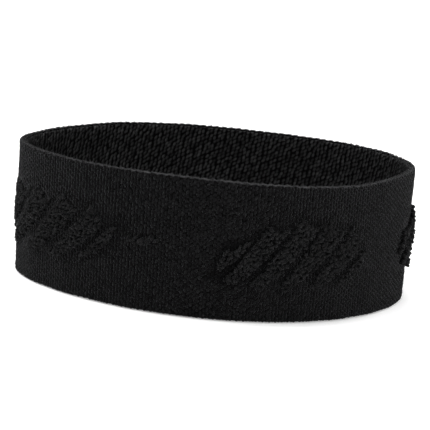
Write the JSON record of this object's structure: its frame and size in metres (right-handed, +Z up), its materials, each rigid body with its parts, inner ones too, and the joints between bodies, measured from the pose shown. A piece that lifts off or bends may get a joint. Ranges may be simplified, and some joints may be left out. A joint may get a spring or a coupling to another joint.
{
  "type": "sports headband",
  "caption": "Wide stretch-knit sports headband: a lined fabric loop with turned-in edges and raised pile patches, standing open on its lower edge.",
  "frame": {"origin": "centre of the bounding box on the plane of the lower edge", "axes": "+X along the long side of the oval, +Z up from the lower edge to the upper edge, the opening runs along Z"},
  "size_m": [0.1846, 0.1242, 0.06],
  "materials": {
    "outer_yarn": "black cotton and nylon knit, matt with a faint halo of fibres",
    "lining_yarn": "black coarse knit, matt",
    "elastic_yarn": "covered elastic yarn, dull",
    "link_thread": "black twisted thread, slight sheen",
    "pile_yarn": "black looped pile, soft and matt"
  },
  "bodies": {
    "root": {"outer_knit": "outer_yarn", "lining_knit": "lining_yarn", "elastic_yarn": "elastic_yarn", "top_link_thread": "link_thread", "bottom_link_thread": "link_thread", "pile_taper_1": "pile_yarn", "pile_taper_2": "pile_yarn", "pile_tail_1": "pile_yarn", "pile_tail_2": "pile_yarn", "pile_block_1": "pile_yarn", "pile_block_2": "pile_yarn"}
  },
  "joints": []
}
